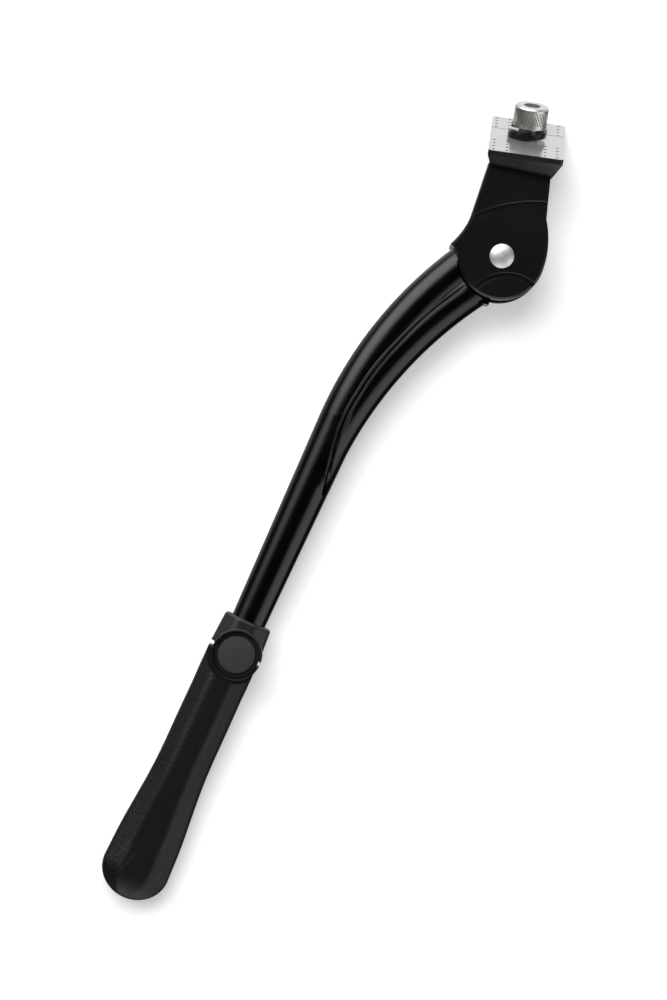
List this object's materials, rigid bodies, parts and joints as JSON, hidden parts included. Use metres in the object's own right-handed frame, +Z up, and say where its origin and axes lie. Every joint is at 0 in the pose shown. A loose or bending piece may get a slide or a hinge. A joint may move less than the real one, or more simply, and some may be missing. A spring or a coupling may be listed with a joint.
{
  "type": "bicycle kickstand",
  "caption": "Centre-mount bicycle kickstand: bolted flange with grip dots, clevis head, curved folding leg and a sliding rubber foot that a button locks.",
  "frame": {"origin": "where the bolt's axis meets the plane of the flange's two bearing pads", "axes": "+Z up along the bolt towards the bicycle's frame, +X to the bicycle's rear, -Y out to its left side"},
  "size_m": [0.1346, 0.1605, 0.2946],
  "materials": {
    "bracket_paint": "gloss black paint on die-cast aluminium, flange top machined bright",
    "leg_paint": "gloss black paint on cast aluminium",
    "zinc_steel": "bright zinc-plated steel",
    "bright_steel": "polished steel",
    "bush_bronze": "plain bearing bronze",
    "slip_nylon": "plain nylon",
    "spring_steel": "zinc-plated spring wire",
    "sleeve_plastic": "matt grey-black moulding",
    "boot_rubber": "fine-grained black rubber",
    "button_plastic": "satin black moulding"
  },
  "bodies": {
    "bracket": {"bracket": "bracket_paint", "mount_bolt": "zinc_steel", "lock_washer": "zinc_steel", "pivot_rivet": "bright_steel", "thrust_washer_front": "slip_nylon", "thrust_washer_back": "slip_nylon", "bracket_spring_pin": "spring_steel"},
    "leg": {"leg": "leg_paint", "pivot_bush": "bush_bronze", "leg_spring_pin": "spring_steel"},
    "spring": {"return_spring": "spring_steel"},
    "foot": {"foot_carrier": "sleeve_plastic", "foot_boot": "boot_rubber", "button_spring": "spring_steel"},
    "button": {"length_button": "button_plastic"}
  },
  "joints": [
    {"name": "leg_fold", "type": "hinge", "parent": "bracket", "child": "leg", "pos_m": [-0.00373, -0.02544, -0.04163], "axis": [0.0353, -0.9198, 0.3907], "range_deg": [0, 104], "stiffness_Nm_per_rad": 0.25, "springref_deg": -114.59},
    {"name": "spring_swing", "type": "hinge", "parent": "bracket", "child": "spring", "pos_m": [-0.0044, -0.00785, -0.03933], "axis": [0.0353, -0.9198, 0.3907], "range_deg": [0, 92.2], "deforming": ["return_spring"]},
    {"name": "foot_slide", "type": "slide", "parent": "leg", "child": "foot", "axis": [-0.2778, -0.3846, -0.8803], "range_m": [0, 0.035]},
    {"name": "button_press", "type": "slide", "parent": "foot", "child": "button", "axis": [-0.0353, 0.9198, -0.3907], "range_m": [0, 0.0015], "stiffness_N_per_m": 1500, "springref_m": -0.002, "deforming": ["button_spring"]}
  ],
  "couplings": [
    {"joint": "spring_swing", "follows": "leg_fold", "ratio": 0.8844}
  ]
}
